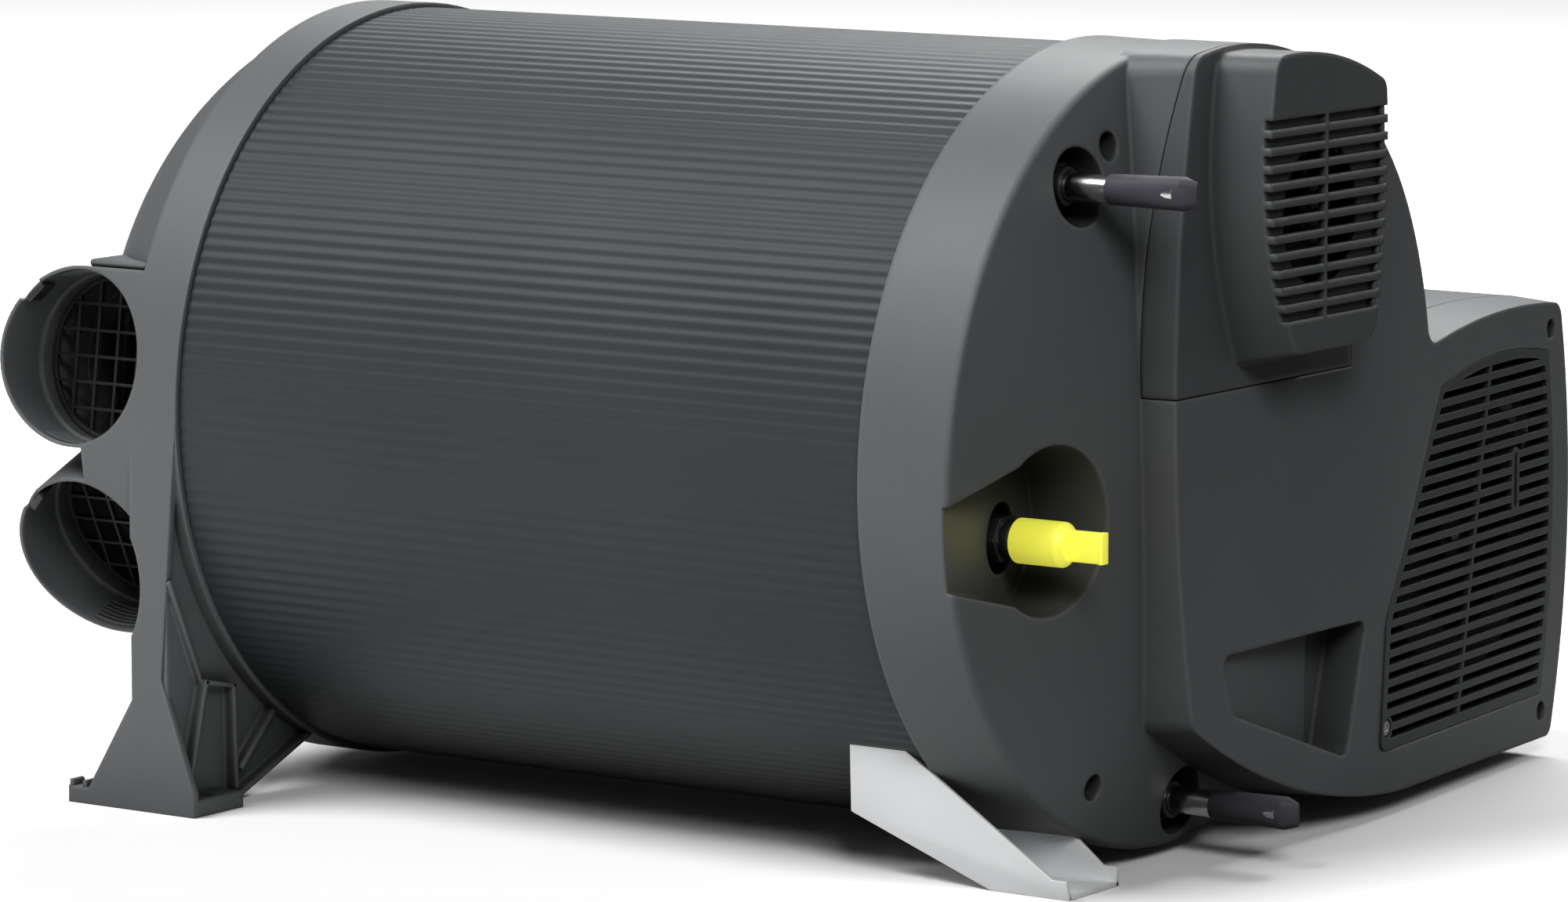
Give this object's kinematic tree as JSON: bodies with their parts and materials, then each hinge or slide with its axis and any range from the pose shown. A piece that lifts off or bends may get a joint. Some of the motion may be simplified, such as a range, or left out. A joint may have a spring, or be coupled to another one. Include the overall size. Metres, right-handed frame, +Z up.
{
  "type": "caravan water heater",
  "caption": "Combined space and water heater for a caravan: ribbed drum, warm-air outlets on both sides, fan box, water, gas and flue connections.",
  "frame": {"origin": "centre of the heater's bounding box on the surface it stands on", "axes": "+X along the drum towards the connection end, +Y towards the fan box and flue, +Z up"},
  "size_m": [0.4934, 0.4507, 0.3039],
  "materials": {
    "ribbed_plastic": "moulded, satin",
    "housing_plastic": "moulded, fine grain",
    "cover_plastic": "moulded, fine grain",
    "grille_plastic": "moulded, fine grain",
    "fan_plastic": "moulded",
    "cast_aluminium": "cast",
    "bracket_aluminium": "satin",
    "tank_steel": "brushed",
    "pipe_steel": "drawn tube",
    "grey_rubber": "matte",
    "yellow_plastic": "soft moulded cap",
    "black_plastic": "moulded",
    "foam": "expanded foam",
    "brass_fitting": "turned",
    "board_green": "lacquered board",
    "ceramic": "glazed ceramic",
    "screw_steel": "zinc plated"
  },
  "bodies": {
    "root": {"air_end_housing": "housing_plastic", "ribbed_shell": "ribbed_plastic", "insulation_sleeve": "foam", "water_tank": "tank_steel", "tank_temperature_sensor": "brass_fitting", "heat_exchanger": "cast_aluminium", "carrier_disc": "black_plastic", "burner": "tank_steel", "ignition_electrode": "ceramic", "combustion_fan_housing": "cast_aluminium", "combustion_fan_motor": "screw_steel", "exhaust_pipe": "pipe_steel", "combustion_air_duct": "black_plastic", "flue_adapter": "cast_aluminium", "connection_end_housing": "housing_plastic", "fan_box_rear_shell": "housing_plastic", "electronics_cover": "cover_plastic", "cooling_fan_frame": "fan_plastic", "control_board": "board_green", "plug_sockets": "black_plastic", "intake_grille": "grille_plastic", "grille_screw": "screw_steel", "blower_scroll": "black_plastic", "blower_motor": "screw_steel", "hot_water_pipe": "pipe_steel", "cold_water_pipe": "pipe_steel", "gas_tube": "pipe_steel", "gas_clip": "black_plastic", "gas_valve": "brass_fitting", "gas_feed_tube": "pipe_steel", "mounting_bracket": "bracket_aluminium", "end_housing_screws": "screw_steel", "fan_box_screws": "screw_steel", "upper_front_outlet_grid": "black_plastic", "lower_front_outlet_grid": "black_plastic", "upper_rear_outlet_grid": "black_plastic", "lower_rear_outlet_grid": "black_plastic"},
    "combustion_fan_wheel": {"combustion_fan_wheel": "fan_plastic"},
    "cooling_fan_rotor": {"cooling_fan_rotor": "fan_plastic"},
    "blower_wheel": {"blower_wheel": "fan_plastic"},
    "hot_water_cap": {"hot_water_cap": "grey_rubber"},
    "cold_water_cap": {"cold_water_cap": "grey_rubber"},
    "gas_cap": {"gas_cap": "yellow_plastic"}
  },
  "joints": [
    {"name": "combustion_fan_spin", "type": "hinge", "parent": "root", "child": "combustion_fan_wheel", "pos_m": [0.16275, -0.0934, 0.1699], "axis": [1, 0, 0], "continuous": true},
    {"name": "cooling_fan_spin", "type": "hinge", "parent": "root", "child": "cooling_fan_rotor", "pos_m": [0.23375, -0.054, 0.2415], "axis": [1, 0, 0], "continuous": true},
    {"name": "blower_spin", "type": "hinge", "parent": "root", "child": "blower_wheel", "pos_m": [0.19075, 0.1296, 0.0969], "axis": [1, 0, 0], "continuous": true},
    {"name": "hot_cap_pull", "type": "slide", "parent": "root", "child": "hot_water_cap", "axis": [1, 0, 0], "range_m": [0, 0.032]},
    {"name": "cold_cap_pull", "type": "slide", "parent": "root", "child": "cold_water_cap", "axis": [1, 0, 0], "range_m": [0, 0.032]},
    {"name": "gas_cap_pull", "type": "slide", "parent": "root", "child": "gas_cap", "axis": [1, 0, 0], "range_m": [0, 0.026]}
  ]
}
